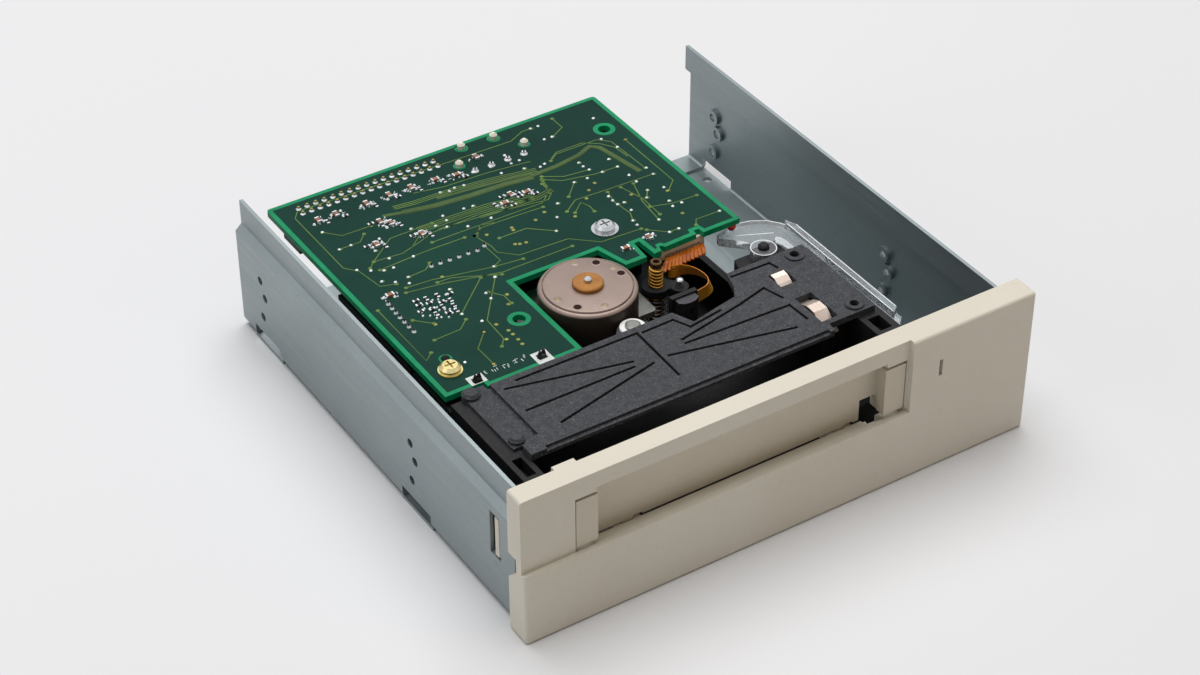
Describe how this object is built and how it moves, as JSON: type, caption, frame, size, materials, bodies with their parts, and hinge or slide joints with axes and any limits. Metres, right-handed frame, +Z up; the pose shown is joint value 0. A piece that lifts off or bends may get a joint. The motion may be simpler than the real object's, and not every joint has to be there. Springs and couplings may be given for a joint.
{
  "type": "data tape drive",
  "caption": "Half-height cartridge tape drive: steel tray, beige front with hinged door, black mechanism and green circuit board.",
  "frame": {"origin": "on the bench plane, under the middle of the overall width and depth", "axes": "+X to the right seen from the front, +Y to the back, +Z up; the front moulding faces -Y"},
  "size_m": [0.1494, 0.148, 0.0428],
  "materials": {
    "tray_steel": "plain rolled sheet, satin",
    "bezel_plastic": "fine texture, warm beige",
    "black_plastic": "moulded, fine grain",
    "circuit_board": "solder resist over laminate",
    "bright_steel": "plated, bright",
    "nylon": "natural nylon",
    "chip_plastic": "moulded epoxy",
    "can_aluminium": "drawn can",
    "motor_aluminium": "turned and lapped, warm grey",
    "lamp_red": "tinted epoxy",
    "brass": "turned",
    "magnet": "bonded ferrite",
    "copper": "enamelled wire over laminations",
    "roller_rubber": "ground",
    "polyimide": "amber film",
    "clear_plastic": "clear moulding"
  },
  "bodies": {
    "chassis": {"drive_tray": "tray_steel", "front_bezel": "bezel_plastic", "door_spring": "bright_steel", "mechanism_base": "black_plastic", "cartridge_shelf": "black_plastic", "cartridge_guide_left": "black_plastic", "cartridge_guide_right": "black_plastic", "latch_pins": "bright_steel", "latch_spring_left": "bright_steel", "latch_spring_right": "bright_steel", "cartridge_bridge": "black_plastic", "cartridge_leaf_spring": "bright_steel", "nylon_washer": "nylon", "washer_screw": "bright_steel", "main_board": "circuit_board", "interface_header": "black_plastic", "header_pins": "bright_steel", "power_connector": "nylon", "power_pins": "bright_steel", "controller_chips": "chip_plastic", "filter_capacitors": "can_aluminium", "flex_connector": "nylon", "status_led": "lamp_red", "cartridge_in_switch": "chip_plastic", "write_protect_switch": "chip_plastic", "board_screw_rear": "bright_steel", "board_screw_front": "brass", "mechanism_screws": "bright_steel", "motor_screws": "bright_steel", "motor_bearing": "brass", "motor_stator": "copper", "motor_plate": "tray_steel", "stepper_motor": "can_aluminium", "head_guide_rod": "bright_steel", "anti_backlash_spring": "bright_steel", "head_flex_cable": "polyimide", "light_pipe": "clear_plastic"},
    "door": {"cartridge_door": "bezel_plastic", "door_hinge_pins": "bright_steel"},
    "spindle": {"rotor_cup": "motor_aluminium", "rotor_hub": "brass", "motor_shaft": "bright_steel", "rotor_magnet": "magnet", "drive_roller": "roller_rubber"},
    "lead_screw": {"lead_screw": "brass"},
    "head": {"head_carriage": "black_plastic", "tape_head": "bright_steel"},
    "latch_left": {"latch_arm_left": "nylon"},
    "latch_right": {"latch_arm_right": "nylon"},
    "cartridge_in_button": {"cartridge_in_plunger": "nylon"},
    "write_protect_button": {"write_protect_plunger": "nylon"}
  },
  "joints": [
    {"name": "door_swing", "type": "hinge", "parent": "chassis", "child": "door", "pos_m": [-0.012, -0.067, 0.0183], "axis": [-1, 0, 0], "range_deg": [0, 90], "stiffness_Nm_per_rad": 0.0015, "springref_deg": -28.65},
    {"name": "spindle_spin", "type": "hinge", "parent": "chassis", "child": "spindle", "pos_m": [-0.015, -0.0076, 0.0302], "axis": [0, 0, 1], "continuous": true},
    {"name": "lead_screw_turn", "type": "hinge", "parent": "chassis", "child": "lead_screw", "pos_m": [0.0065, -0.0062, 0.02], "axis": [0, 0, 1], "range_deg": [-1155, 1155]},
    {"name": "head_slide", "type": "slide", "parent": "chassis", "child": "head", "axis": [0, 0, 1], "range_m": [-0.0032, 0.0032], "deforming": ["anti_backlash_spring", "head_flex_cable"]},
    {"name": "latch_left_swing", "type": "hinge", "parent": "chassis", "child": "latch_left", "pos_m": [-0.0575, -0.0255, 0.0255], "axis": [0, 0, -1], "range_deg": [0, 8], "stiffness_Nm_per_rad": 0.002, "springref_deg": -5.73},
    {"name": "latch_right_swing", "type": "hinge", "parent": "chassis", "child": "latch_right", "pos_m": [0.0335, -0.0255, 0.0255], "axis": [0, 0, 1], "range_deg": [0, 8], "stiffness_Nm_per_rad": 0.002, "springref_deg": -5.73},
    {"name": "cartridge_in_press", "type": "slide", "parent": "chassis", "child": "cartridge_in_button", "axis": [0, 1, 0], "range_m": [0, 0.0012], "stiffness_N_per_m": 100, "springref_m": -0.0005},
    {"name": "write_protect_press", "type": "slide", "parent": "chassis", "child": "write_protect_button", "axis": [0, 1, 0], "range_m": [0, 0.0012], "stiffness_N_per_m": 100, "springref_m": -0.0005}
  ],
  "couplings": [
    {"joint": "lead_screw_turn", "follows": "head_slide", "rad_per_m": -6283.2}
  ]
}
